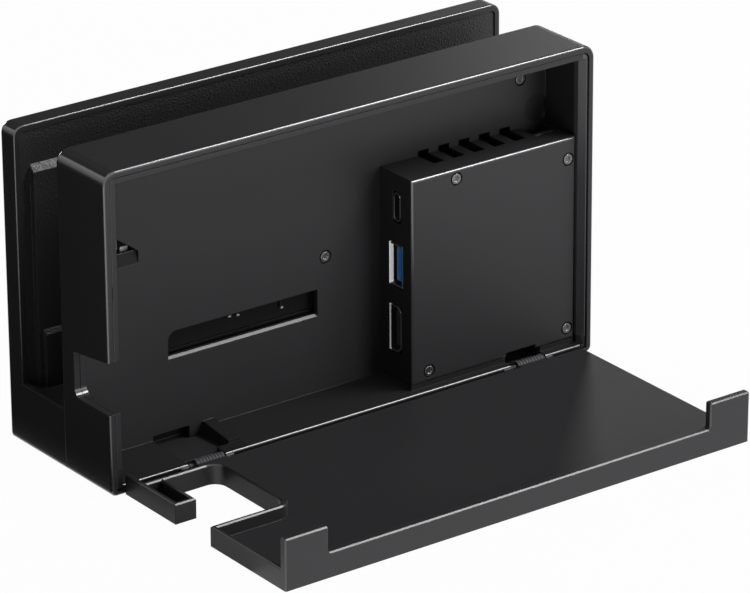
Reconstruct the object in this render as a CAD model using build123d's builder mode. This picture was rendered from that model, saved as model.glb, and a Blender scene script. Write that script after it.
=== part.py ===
from build123d import *
import math
import os

# Desktop dock for a handheld game console, in millimetres.
# The front plate faces -Y, the hinged rear door lies open towards +Y, +Z is up.
# The origin is the middle of the closed body's footprint on the table.

# Overall body
width = 176.0
depth = 53.5
height = 100.0
foot_height = 0.5
bottom_corner_radius = 2.0
wall = 2.0
fit_gap = 0.15
running_gap = 0.45
screw_gap = 0.2

# Front plate and the bridge that carries it
plate_thickness = 7.4
plate_corner_radius = 3.4
plate_edge_radius = 1.3
plate_front_wall = 2.0
plate_rim_edge_radius = 0.5
rim_width = 2.0
liner_thickness = 1.8
liner_setback = 0.35
liner_ledge = 3.0
slot_width = 22.35
bridge_top_z = 20.1
slot_floor_drop = 2.0
slot_floor_thickness = 1.8
bridge_deck = 2.0
bridge_wall = 2.2

# Guide pads inside the slot
pad_width = 15.0
pad_inset = 5.4
pad_height = 2.0
pad_top_z = 87.5
low_pad_height = 3.4
low_pad_top_z = 38.2
low_pad_inset = 7.0

# Rear housing and the tray nested in it
housing_top_radius = 4.2
housing_edge_radius = 0.8
housing_front_wall = 1.8
housing_bottom = 1.55
tray_wall = 1.9
tray_panel = 1.8
tray_cavity = 1.7
tray_floor = 1.2
tray_setback = 0.3
tray_edge_bevel = 0.35
floor_edge_setback = 0.45
floor_edge_radius = 0.6
floor_rise = 1.0
side_bevel_depth = 2.4
side_bevel_width = 1.3

# Cable notch in the side wall
notch_bottom_z = 26.1
notch_front_top_z = 40.0
notch_rear_top_z = 42.5
notch_clear_of_panel = 0.5
notch_corner_radius = 2.6

# Openings in the tray panel
window_left_x = 55.0
window_right_x = 1.5
window_bottom_z = 29.4
window_top_z = 37.2
window_corner_radius = 3.0
window_sill_bevel = 0.7
catch_side_gap = 6.95
catch_low_z = 65.3
catch_width = 12.4
catch_rise = 8.8
catch_ramp_depth = 1.2
catch_ramp_height = 3.9
middle_screw_x = -1.6
middle_screw_z = 46.9
corner_screw_inset = 9.5
corner_screw_drop = 13.6
dimple_inset = 3.45
dimple_drop = 24.0
dimple_radius = 4.2
dimple_depth = 0.9

# Port cover, with its details measured from its right edge
cover_side_gap = 0.65
cover_width = 61.5
cover_bottom_z = 5.3
cover_top_z = 70.8
cover_depth = 15.6
cover_wall = 1.8
cover_edge_radius = 0.9
cover_screw_offsets = [(44.9, 67.7), (2.75, 64.0), (2.75, 8.9), (55.1, 8.5)]
vent_count = 5
vent_pitch = 7.65
vent_width = 4.0
vent_length = 7.7
vent_first_offset = 45.5
vent_rise = 1.4
corner_cut_width = 9.5
corner_cut_length = 8.4
corner_bar_radius = 1.0
corner_bar_setback = 6.6
cover_seat_setback = 0.5
cover_notch_width = 11.2
cover_notch_rise = 1.4

# Fasteners
screw_head_radius = 1.6
screw_head_height = 1.0
screw_shank_radius = 0.85
screw_recess_radius = 2.1
screw_recess_depth = 1.0
column_radius = 2.5
boss_radius = 3.2
drive_radius = 0.9
drive_depth = 0.45
drive_sides = 6
head_sides = 16
hidden_sides = 10
shank_sides = 8

# Rear door, drawn lying open and level, then drooped to touch the table
hinge_inset = 1.55
hinge_z = 2.0
door_thickness = 2.2
door_low_z = 0.6
door_length = 78.85
door_edge_bevel = 0.4
door_near_radius = 0.8
door_near_gap = 0.4
door_rim_height = 6.3
door_rim_thickness = 1.5
flange_height = 7.8
flange_thickness = 2.6
ear_height = 15.9
ear_width = 14.8
cable_gap_reach = 26.1
cable_gap_start = 9.05
cable_gap_length = 33.6
cable_gap_radius = 4.0
arm_length = 16.2
arm_width = 7.2
arm_inner_wall = 0.9
knuckle_radius = 1.6
knuckle_length = 10.0
knuckle_left_inset = 30.3
knuckle_right_inset = 18.5
trunnion_radius = 0.7
trunnion_gap = 0.3
trunnion_reach = 1.5

# Hinge pockets in the floor of the rear compartment
pocket_outer_side = 2.8
pocket_inner_side = 0.6
pocket_rise = 2.5
pocket_wide_side = 4.7
pocket_neck = 5.3
lug_width = 4.1
lug_top_z = 6.1
lug_end_z = 4.6
bearing_width = 2.6
hinge_skin = 0.4

# Main board and sockets
board_thickness = 1.6
board_standoff = 2.8
board_left_gap = 2.2
board_right_gap = 5.8
board_bottom_z = 12.5
board_top_z = 63.5
standoff_radius = 2.2
board_screw_offsets = [(10.3, 18.0), (10.3, 58.0), (53.3, 31.6), (53.3, 51.8)]
socket_gap = 0.3
socket_sheet = 0.4
usb_length = 14.0
usb_span = 13.4
usb_rise = 6.6
usb_z = 41.8
usb_tongue_thickness = 2.0
usb_tongue_span = 10.8
usb_tongue_inset = 1.2
video_length = 11.0
video_span = 14.8
video_rise = 5.8
video_z = 21.2
video_chamfer = 1.6
video_tongue_thickness = 1.8
video_tongue_span = 11.0
power_length = 7.6
power_span = 9.2
power_rise = 3.3
power_z = 60.4
power_lift = 2.2
power_tongue_thickness = 0.8
power_tongue_span = 6.6
side_usb_places = [30.6, 46.6]
shield_thickness = 0.6
shield_window_side = 5.0
shield_cover_gap = 6.8
shield_bottom_z = 8.0
shield_top_gap = 4.0
shield_sill = 0.9
shield_window_head = 4.0
shield_catch_gap = 2.0
shield_tab_width = 0.9
shield_tab_tip = 0.5
shield_tab_places = [(31.4, 35.2), (28.4, 34.9), (12.7, 33.3)]
catch_tab_width = 2.3
catch_tab_offset = 6.6
catch_tab_lift = 0.8

# Console plug on its tilting carrier
plug_opening_length = 30.0
plug_opening_depth = 12.6
carrier_length = 22.0
carrier_depth = 8.4
carrier_bottom_z = 9.0
carrier_top_z = 19.6
carrier_bevel = 1.2
carrier_pivot_z = 11.4
carrier_pin_radius = 1.4
carrier_pin_reach = 3.0
carrier_pin_hole_radius = 1.7
cheek_thickness = 1.6
cheek_gap = 0.6
cheek_depth = 8.0
bracket_flange = 7.0
plug_length = 8.4
plug_thickness = 2.6
plug_height = 6.4
plug_mouth_depth = 5.2
plug_sheet = 0.35
plug_board_thickness = 1.2
plug_board_inset = 0.4
spring_thickness = 0.4
spring_width = 12.0
spring_tab = 1.8
spring_foot_z = 10.2
spring_foot_gap = 0.4
spring_stand_off = 1.1

# Flat cable from the plug to the main board
ribbon_thickness = 0.3
ribbon_z = 6.0
ribbon_side_gap = 8.2
ribbon_width = 16.0
ribbon_run_x = 8.0
ribbon_run_depth = 7.0
ribbon_top_z = 20.0
ribbon_gap = 0.4

# Base plate, feet and status light
base_plate_thickness = 1.5
base_screw_side = 18.0
base_screw_front = 7.75
base_screw_rear = 6.85
base_screw_grip = 3.0
foot_length = 22.0
foot_depth = 6.0
foot_corner = 2.0
foot_side = 22.0
foot_front = 15.25
foot_rear = 11.25
light_side = 9.0
light_z = 9.0
light_length = 5.0
light_thickness = 1.4
light_depth = 4.0
light_gap = 0.1
light_board_length = 8.4
light_board_height = 8.0
light_board_thickness = 1.0

# Places worked out from the sizes above
half_width = width / 2
front_y = -depth / 2
rear_y = depth / 2
plate_rear_y = front_y + plate_thickness
box_front_y = plate_rear_y + slot_width
bridge_rear_y = box_front_y - fit_gap
shell_bottom_z = foot_height
slot_floor_z = bridge_top_z - slot_floor_drop
floor_seat_z = slot_floor_z - slot_floor_thickness
deck_low_z = floor_seat_z - bridge_deck
base_plate_top_z = shell_bottom_z + base_plate_thickness
liner_depth = liner_thickness + liner_setback
liner_face_y = plate_rear_y - liner_setback
housing_inner_front_y = box_front_y + housing_front_wall
tray_front_y = housing_inner_front_y + tray_cavity
panel_y = tray_front_y + tray_panel
tray_rim_y = rear_y - tray_setback
tray_half_width = half_width - wall - fit_gap
tray_inner_half = tray_half_width - tray_wall
tray_top_z = height - wall - fit_gap
tray_inner_top_z = tray_top_z - tray_wall
tray_low_z = shell_bottom_z + housing_bottom + fit_gap
floor_z = tray_low_z + tray_floor
floor_edge_y = rear_y - floor_edge_setback
cover_right_x = -tray_inner_half + cover_side_gap
cover_left_x = cover_right_x + cover_width
cover_face_y = panel_y + cover_depth
cover_inner_y = cover_face_y - cover_wall
cover_screw_places = [(cover_right_x + across, up) for across, up in cover_screw_offsets]
vent_places = [cover_right_x + vent_first_offset - step * vent_pitch for step in range(vent_count)]
tray_screw_places = [
    (middle_screw_x, middle_screw_z),
    (-tray_inner_half + corner_screw_inset, height - corner_screw_drop),
]
catch_high_x = tray_inner_half - catch_side_gap
catch_low_x = catch_high_x - catch_width
board_low_y = panel_y + board_standoff
board_y = board_low_y + board_thickness
board_left_x = cover_left_x - board_left_gap
board_right_x = cover_right_x + board_right_gap
board_screw_places = [(cover_right_x + across, up) for across, up in board_screw_offsets]
ribbon_left_x = cover_left_x - ribbon_side_gap
ribbon_right_x = ribbon_left_x - ribbon_width
hinge_y = rear_y - hinge_inset
bearing_radius = floor_z - hinge_z
bearing_front_y = hinge_y - knuckle_radius - running_gap - bearing_width / 2
bearing_low_z = shell_bottom_z + hinge_skin + fit_gap
door_half_width = tray_inner_half - running_gap
door_near_y = rear_y + door_near_gap
door_far_y = door_near_y + door_length
door_top_z = door_low_z + door_thickness
door_rim_top_z = door_low_z + door_rim_height
cable_gap_right_x = door_half_width - cable_gap_reach
cable_gap_near_y = door_near_y + cable_gap_start
cable_gap_far_y = cable_gap_near_y + cable_gap_length
arm_inner_x = door_half_width - arm_width
arm_tip_y = cable_gap_near_y + arm_length
knuckle_places = [door_half_width - knuckle_left_inset, -door_half_width + knuckle_right_inset]
droop_deg = math.degrees(math.asin(door_low_z / (door_far_y - hinge_y)))
notch_front_y = panel_y + notch_clear_of_panel
slot_middle_y = (plate_rear_y + box_front_y) / 2
screw_hole_radius = screw_shank_radius + screw_gap
base_screw_x = half_width - base_screw_side
base_screw_front_y = front_y + base_screw_front
base_screw_rear_y = bridge_rear_y - base_screw_rear
foot_x = half_width - foot_side
front_foot_y = front_y + foot_front
rear_foot_y = rear_y - foot_rear
light_x = -half_width + light_side


def seen_from_rear(y):
    """Sketch plane at a depth, with X across and Z up; extruding goes towards the front."""
    return Plane.XZ.offset(-y)


def block(x_span, y_span, z_span, mode=Mode.ADD):
    """Straight block between two values on each axis."""
    middle = [(low + high) / 2 for low, high in (x_span, y_span, z_span)]
    sides = [abs(high - low) for low, high in (x_span, y_span, z_span)]
    with Locations(tuple(middle)):
        Box(*sides, mode=mode)


def end_outline(half, low_z, top_z, top_radius, low_radius):
    """Outline of a shell seen along Y, with rounded upper and lower corners."""
    with Locations((0, (low_z + top_z) / 2)):
        Rectangle(2 * half, top_z - low_z)
    corners = vertices()
    fillet(corners.group_by(Axis.Y)[-1], top_radius)
    fillet(vertices().group_by(Axis.Y)[0], low_radius)


def cut_notch(x_from, x_to):
    """Cuts the cable notch, open to the rear, through a wall between two X values."""
    with BuildSketch(Plane.YZ.offset(x_from)) as profile:
        with BuildLine():
            Polyline(
                (notch_front_y, notch_bottom_z),
                (rear_y + wall, notch_bottom_z),
                (rear_y + wall, notch_rear_top_z),
                (notch_front_y, notch_front_top_z),
                close=True,
            )
        make_face()
        fillet(vertices().group_by(Axis.X)[0].sort_by(Axis.Y)[0], notch_corner_radius)
    extrude(profile.sketch, amount=x_to - x_from, mode=Mode.SUBTRACT)


def discs(places, radius, y, length, mode=Mode.ADD, sides=0):
    """Round or many-sided pillars or holes at several places, from a depth towards the front."""
    with BuildSketch(seen_from_rear(y)) as rounds:
        with Locations(*places):
            if sides:
                RegularPolygon(radius, sides)
            else:
                Circle(radius)
    extrude(rounds.sketch, amount=length, mode=mode)


def base_pillars(radius, low_z, length, sides, mode=Mode.ADD):
    """Many-sided pillars or holes at the four base screws, from a height upwards."""
    with BuildSketch(Plane.XY.offset(low_z)) as rounds:
        with Locations((0, (base_screw_front_y + base_screw_rear_y) / 2)):
            with GridLocations(2 * base_screw_x, base_screw_rear_y - base_screw_front_y, 2, 2):
                RegularPolygon(radius, sides)
    extrude(rounds.sketch, amount=length, mode=mode)


def recessed_screw_holes(places, face_y, through):
    """Round recesses with a clearance hole behind, cut into a face that looks to +Y."""
    discs(places, screw_recess_radius, face_y, screw_recess_depth, Mode.SUBTRACT)
    discs(places, screw_hole_radius, face_y, through, Mode.SUBTRACT, hidden_sides)


def screws_facing_rear(places, seat_y, length, sides):
    """Flat-headed screws with a socket in the head, driven towards the front."""
    discs(places, screw_shank_radius, seat_y, length, Mode.ADD, shank_sides)
    discs(places, screw_head_radius, seat_y + screw_head_height, screw_head_height, Mode.ADD, sides)
    discs(places, drive_radius, seat_y + screw_head_height, drive_depth, Mode.SUBTRACT, drive_sides)


def finish(piece, name):
    """Labels a finished part and writes it to its own file."""
    piece.part.label = name
    export_step(piece.part, os.path.join("parts", name + ".step"))


os.makedirs("parts", exist_ok=True)

# Front shell: the tall plate and the hollow bridge under the slot, one moulding
with BuildPart() as front_shell:
    with BuildSketch(seen_from_rear(plate_rear_y)):
        end_outline(half_width, shell_bottom_z, height, plate_corner_radius, bottom_corner_radius)
    extrude(amount=plate_thickness)
    fillet(front_shell.edges().group_by(Axis.Y)[0], plate_edge_radius)
    rear_outline = front_shell.edges().group_by(Axis.Y)[-1]
    fillet(rear_outline.filter_by_position(Axis.Z, bridge_top_z, height), plate_rim_edge_radius)
    with BuildSketch(seen_from_rear(bridge_rear_y)):
        with Locations((0, (shell_bottom_z + bridge_top_z) / 2)):
            Rectangle(width, bridge_top_z - shell_bottom_z)
        fillet(vertices().group_by(Axis.Y)[0], bottom_corner_radius)
    extrude(amount=bridge_rear_y - plate_rear_y + plate_edge_radius)
    # seat of the slot floor, open between the two end rims
    block(
        (-half_width + rim_width, half_width - rim_width),
        (plate_rear_y - liner_depth, bridge_rear_y + wall),
        (floor_seat_z, bridge_top_z + wall),
        Mode.SUBTRACT,
    )
    # recess for the liner, and the hollow behind it
    with BuildSketch(seen_from_rear(plate_rear_y)):
        end_outline(half_width - rim_width, floor_seat_z, height - rim_width,
                    plate_corner_radius - rim_width, plate_corner_radius - rim_width)
    extrude(amount=liner_depth, mode=Mode.SUBTRACT)
    block(
        (-half_width + rim_width + liner_ledge, half_width - rim_width - liner_ledge),
        (front_y + plate_front_wall, plate_rear_y - liner_depth),
        (bridge_top_z + liner_ledge, height - rim_width - liner_ledge),
        Mode.SUBTRACT,
    )
    # hollow under the bridge, open below
    block(
        (-half_width + bridge_wall, half_width - bridge_wall),
        (front_y + bridge_wall, bridge_rear_y - bridge_wall),
        (shell_bottom_z - wall, deck_low_z),
        Mode.SUBTRACT,
    )
    # screw bosses that the base plate seats on
    boss_length = deck_low_z - base_plate_top_z
    base_pillars(boss_radius, base_plate_top_z, boss_length, hidden_sides)
    base_pillars(screw_hole_radius, base_plate_top_z, boss_length / 2, hidden_sides, Mode.SUBTRACT)
    # opening for the plug carrier, ribbon slot and status light hole
    block(
        (-plug_opening_length / 2, plug_opening_length / 2),
        (slot_middle_y - plug_opening_depth / 2, slot_middle_y + plug_opening_depth / 2),
        (deck_low_z - wall, floor_seat_z + wall),
        Mode.SUBTRACT,
    )
    block(
        (ribbon_right_x - ribbon_gap, ribbon_left_x + ribbon_gap),
        (bridge_rear_y - bridge_wall - wall, bridge_rear_y + wall),
        (ribbon_z - ribbon_gap, ribbon_z + ribbon_thickness + ribbon_gap),
        Mode.SUBTRACT,
    )
    with BuildSketch(seen_from_rear(front_y + bridge_wall + wall)):
        with Locations((light_x, light_z)):
            SlotOverall(light_length + 2 * light_gap, light_thickness + 2 * light_gap)
    extrude(amount=bridge_wall + 2 * wall, mode=Mode.SUBTRACT)
finish(front_shell, "front_shell")

# Liner: the textured inner face of the plate, with a stepped guide pad at each end
with BuildPart() as front_liner:
    liner_half = half_width - rim_width - fit_gap
    liner_corner = plate_corner_radius - rim_width
    with BuildSketch(seen_from_rear(liner_face_y)):
        end_outline(liner_half, slot_floor_z + fit_gap, height - rim_width - fit_gap,
                    liner_corner, liner_corner)
    extrude(amount=liner_thickness)
    for side in (-1, 1):
        pad_outer_x = side * (half_width - pad_inset)
        pad_inner_x = pad_outer_x - side * pad_width
        with BuildSketch(Plane.YZ.offset(min(pad_outer_x, pad_inner_x))):
            with BuildLine():
                Polyline(
                    (liner_face_y, slot_floor_z + fit_gap),
                    (liner_face_y + pad_height, slot_floor_z + fit_gap),
                    (liner_face_y + pad_height, pad_top_z - pad_height),
                    (liner_face_y, pad_top_z),
                    close=True,
                )
            make_face()
        extrude(amount=pad_width)
        low_outer_x = side * (half_width - low_pad_inset)
        with BuildSketch(Plane.YZ.offset(min(low_outer_x, pad_inner_x))):
            with BuildLine():
                Polyline(
                    (liner_face_y, slot_floor_z + fit_gap),
                    (liner_face_y + low_pad_height, slot_floor_z + fit_gap),
                    (liner_face_y + low_pad_height, low_pad_top_z - low_pad_height),
                    (liner_face_y, low_pad_top_z),
                    close=True,
                )
            make_face()
        extrude(amount=abs(low_outer_x - pad_inner_x))
finish(front_liner, "front_liner")

# Slot floor: the plate that the console stands on
with BuildPart() as slot_floor:
    block(
        (-half_width + rim_width + fit_gap, half_width - rim_width - fit_gap),
        (plate_rear_y - liner_depth + fit_gap, bridge_rear_y),
        (floor_seat_z, slot_floor_z),
    )
    block(
        (-plug_opening_length / 2, plug_opening_length / 2),
        (slot_middle_y - plug_opening_depth / 2, slot_middle_y + plug_opening_depth / 2),
        (floor_seat_z - wall, slot_floor_z + wall),
        Mode.SUBTRACT,
    )
finish(slot_floor, "slot_floor")

# Base plate: closes the bridge from below
with BuildPart() as base_plate:
    with BuildSketch(Plane.XY.offset(shell_bottom_z)):
        base_low_y = front_y + bridge_wall + fit_gap
        base_high_y = bridge_rear_y - bridge_wall - fit_gap
        with Locations((0, (base_low_y + base_high_y) / 2)):
            Rectangle(width - 2 * bridge_wall - 2 * fit_gap, base_high_y - base_low_y)
    extrude(amount=base_plate_thickness)
    base_pillars(screw_hole_radius, shell_bottom_z, base_plate_thickness, hidden_sides, Mode.SUBTRACT)
    base_pillars(screw_recess_radius, shell_bottom_z, screw_recess_depth, head_sides, Mode.SUBTRACT)
finish(base_plate, "base_plate")

# Rear housing: the outer box, open to the rear
with BuildPart() as rear_housing:
    with BuildSketch(seen_from_rear(rear_y)):
        end_outline(half_width, shell_bottom_z, height, housing_top_radius, bottom_corner_radius)
    extrude(amount=rear_y - box_front_y)
    fillet(rear_housing.edges().group_by(Axis.Y)[-1], housing_edge_radius)
    with BuildSketch(seen_from_rear(rear_y)):
        end_outline(half_width - wall, shell_bottom_z + housing_bottom, height - wall,
                    housing_top_radius - wall, bottom_corner_radius - housing_bottom)
    extrude(amount=rear_y - housing_inner_front_y, mode=Mode.SUBTRACT)
    # bosses for the tray screws on the front wall
    discs(tray_screw_places, boss_radius, tray_front_y, tray_cavity, Mode.ADD, hidden_sides)
    hole_length = tray_cavity + housing_front_wall / 2
    discs(tray_screw_places, screw_hole_radius, tray_front_y, hole_length, Mode.SUBTRACT, hidden_sides)
    cut_notch(half_width - wall - fit_gap, half_width + wall)
    # mouths of the side sockets, ribbon slot and hinge cut-outs in the bottom
    for socket_z in side_usb_places:
        block(
            (-half_width - wall, -half_width + wall + fit_gap),
            (board_y - socket_gap, board_y + usb_rise + socket_gap),
            (socket_z - usb_span / 2 - socket_gap, socket_z + usb_span / 2 + socket_gap),
            Mode.SUBTRACT,
        )
    block(
        (ribbon_right_x - ribbon_gap, ribbon_left_x + ribbon_gap),
        (box_front_y - wall, housing_inner_front_y + fit_gap),
        (ribbon_z - ribbon_gap, ribbon_z + ribbon_thickness + ribbon_gap),
        Mode.SUBTRACT,
    )
    for knuckle_x in knuckle_places:
        block(
            (knuckle_x - knuckle_length / 2 - pocket_inner_side - bearing_width - fit_gap,
             knuckle_x + knuckle_length / 2 + pocket_outer_side + bearing_width + fit_gap),
            (bearing_front_y - fit_gap, rear_y + wall),
            (shell_bottom_z + hinge_skin, shell_bottom_z + housing_bottom + fit_gap),
            Mode.SUBTRACT,
        )
        block(
            (knuckle_x - knuckle_length / 2 - running_gap, knuckle_x + knuckle_length / 2 + running_gap),
            (hinge_y - knuckle_radius - running_gap, rear_y + wall),
            (shell_bottom_z - wall, shell_bottom_z + housing_bottom + fit_gap),
            Mode.SUBTRACT,
        )
finish(rear_housing, "rear_housing")

# Rear tray: the recessed panel with its own walls, floor and hinge bearings
with BuildPart() as rear_tray:
    with BuildSketch(seen_from_rear(tray_rim_y)):
        end_outline(tray_half_width, tray_low_z, tray_top_z,
                    housing_top_radius - wall, bottom_corner_radius - housing_bottom)
    extrude(amount=tray_rim_y - tray_front_y)
    chamfer(rear_tray.edges().group_by(Axis.Y)[-1], tray_edge_bevel)
    with BuildSketch(seen_from_rear(tray_rim_y)):
        with Locations((0, (floor_z + tray_inner_top_z) / 2)):
            Rectangle(2 * tray_inner_half, tray_inner_top_z - floor_z)
    extrude(amount=tray_rim_y - panel_y, mode=Mode.SUBTRACT)
    # the floor stops a little short of the rim, with a rounded edge, and rises towards the panel
    block((-tray_inner_half, tray_inner_half), (floor_edge_y, tray_rim_y + wall), (0, floor_z), Mode.SUBTRACT)
    level_edges = rear_tray.edges().filter_by(Axis.X)
    floor_edges = level_edges.filter_by_position(Axis.Z, floor_z - fit_gap, floor_z + fit_gap)
    fillet(floor_edges.sort_by(Axis.Y)[-1], floor_edge_radius)
    with BuildSketch(Plane.YZ.offset(-tray_inner_half)):
        with BuildLine():
            Polyline(
                (panel_y, floor_z),
                (floor_edge_y - 2 * floor_edge_radius, floor_z),
                (panel_y, floor_z + floor_rise),
                close=True,
            )
        make_face()
    extrude(amount=2 * tray_inner_half)
    # slope inside the right wall
    with BuildSketch(Plane.XY.offset(floor_z)):
        with BuildLine():
            Polyline(
                (-tray_inner_half, tray_rim_y - side_bevel_depth),
                (-tray_inner_half, tray_rim_y + wall),
                (-tray_inner_half - side_bevel_width, tray_rim_y + wall),
                (-tray_inner_half - side_bevel_width, tray_rim_y),
                close=True,
            )
        make_face()
    extrude(amount=tray_inner_top_z - floor_z, mode=Mode.SUBTRACT)
    cut_notch(tray_inner_half - wall, tray_half_width + wall)
    # holes for the port cover screws and standoffs under the board
    discs(cover_screw_places, screw_hole_radius, panel_y, tray_panel, Mode.SUBTRACT, hidden_sides)
    discs(board_screw_places, standoff_radius, board_low_y, board_standoff, Mode.ADD, hidden_sides)
    hole_length = board_standoff + tray_panel / 2
    discs(board_screw_places, screw_hole_radius, board_low_y, hole_length, Mode.SUBTRACT, hidden_sides)
    # long window, with its upper outer corner rounded and its sill bevelled
    with BuildSketch(seen_from_rear(panel_y)):
        with Locations(((window_left_x + window_right_x) / 2, (window_bottom_z + window_top_z) / 2)):
            Rectangle(window_left_x - window_right_x, window_top_z - window_bottom_z)
        fillet(vertices().sort_by(Axis.X)[-2:].sort_by(Axis.Y)[-1], window_corner_radius)
    extrude(amount=tray_panel, mode=Mode.SUBTRACT)
    with BuildSketch(Plane.YZ.offset(window_right_x)):
        with BuildLine():
            Polyline(
                (panel_y, window_bottom_z),
                (panel_y, window_bottom_z - window_sill_bevel),
                (panel_y - window_sill_bevel, window_bottom_z),
                close=True,
            )
        make_face()
    extrude(amount=window_left_x - window_right_x, mode=Mode.SUBTRACT)
    # three-cornered catch opening beside the left wall, with a ramp leading up into it
    with BuildSketch(seen_from_rear(panel_y + wall)):
        with BuildLine():
            Polyline(
                (catch_low_x, catch_low_z),
                (catch_high_x, catch_low_z),
                (catch_high_x, catch_low_z + catch_rise),
                close=True,
            )
        make_face()
    extrude(amount=tray_panel + 2 * wall, mode=Mode.SUBTRACT)
    with BuildSketch(Plane.YZ.offset(catch_low_x)):
        with BuildLine():
            Polyline(
                (panel_y, catch_low_z - catch_ramp_height),
                (panel_y, catch_low_z),
                (panel_y - catch_ramp_depth, catch_low_z),
                close=True,
            )
        make_face()
    extrude(amount=catch_width, mode=Mode.SUBTRACT)
    recessed_screw_holes(tray_screw_places, panel_y, tray_panel)
    dimple_place = (-tray_inner_half + dimple_inset, height - dimple_drop)
    discs([dimple_place], dimple_radius, panel_y, dimple_depth, Mode.SUBTRACT)
    # notches that carry the vents up the panel
    for vent_x in vent_places:
        block(
            (vent_x - vent_width / 2, vent_x + vent_width / 2),
            (tray_front_y - wall, panel_y + wall),
            (cover_top_z - cover_wall, cover_top_z + vent_rise),
            Mode.SUBTRACT,
        )
    # mouths of the side sockets and the ribbon's way to the board
    for socket_z in side_usb_places:
        block(
            (-tray_half_width - wall, -tray_inner_half + wall),
            (board_y - socket_gap, board_y + usb_rise + socket_gap),
            (socket_z - usb_span / 2 - socket_gap, socket_z + usb_span / 2 + socket_gap),
            Mode.SUBTRACT,
        )
    block(
        (ribbon_right_x - ribbon_gap, ribbon_left_x + ribbon_gap),
        (tray_front_y - wall, panel_y + fit_gap),
        (ribbon_top_z - ribbon_gap, ribbon_top_z + ribbon_thickness + ribbon_gap),
        Mode.SUBTRACT,
    )
    # raised lug beside the left hinge pocket, sloping down towards the rear
    lug_high_x = knuckle_places[0] - knuckle_length / 2 - pocket_wide_side
    lug_end_y = rear_y - pocket_neck
    with BuildSketch(Plane.YZ.offset(lug_high_x - lug_width)):
        with BuildLine():
            Polyline(
                (panel_y, floor_z),
                (lug_end_y, floor_z),
                (lug_end_y, lug_end_z),
                (panel_y, lug_top_z),
                close=True,
            )
        make_face()
    extrude(amount=lug_width)
    # seat under the port cover
    block(
        (cover_right_x, cover_left_x),
        (panel_y, cover_face_y - cover_seat_setback),
        (floor_z, cover_bottom_z - fit_gap),
    )
    # hinge pockets, each with a bearing on both sides that is open below
    for knuckle_x in knuckle_places:
        pocket_low_x = knuckle_x - knuckle_length / 2 - pocket_inner_side
        pocket_high_x = knuckle_x + knuckle_length / 2 + pocket_outer_side
        for bearing_x in (pocket_low_x - bearing_width, pocket_high_x):
            with BuildSketch(Plane.YZ.offset(bearing_x)):
                with Locations((hinge_y, hinge_z)):
                    Circle(bearing_radius)
                with Locations(((bearing_front_y + hinge_y) / 2, hinge_z)):
                    Rectangle(hinge_y - bearing_front_y, 2 * bearing_radius)
                with Locations((hinge_y, bearing_low_z - bearing_radius)):
                    Rectangle(4 * bearing_width, 2 * bearing_radius, mode=Mode.SUBTRACT)
            extrude(amount=bearing_width)
        block(
            (pocket_low_x, pocket_high_x),
            (panel_y, rear_y + wall),
            (0, cover_bottom_z),
            Mode.SUBTRACT,
        )
        block(
            (knuckle_x - knuckle_length / 2, pocket_high_x),
            (tray_front_y - wall, panel_y + wall),
            (0, floor_z + pocket_rise),
            Mode.SUBTRACT,
        )
        with BuildSketch(Plane.YZ.offset(pocket_low_x - bearing_width)):
            with Locations((hinge_y, hinge_z)):
                Circle(trunnion_radius + trunnion_gap)
            with Locations((hinge_y, hinge_z - bearing_radius)):
                Rectangle(2 * (trunnion_radius + trunnion_gap), 2 * bearing_radius)
        extrude(amount=pocket_high_x - pocket_low_x + 2 * bearing_width, mode=Mode.SUBTRACT)
    block(
        (lug_high_x, knuckle_places[0]),
        (panel_y, lug_end_y),
        (0, floor_z + floor_rise),
        Mode.SUBTRACT,
    )
finish(rear_tray, "rear_tray")

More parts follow.
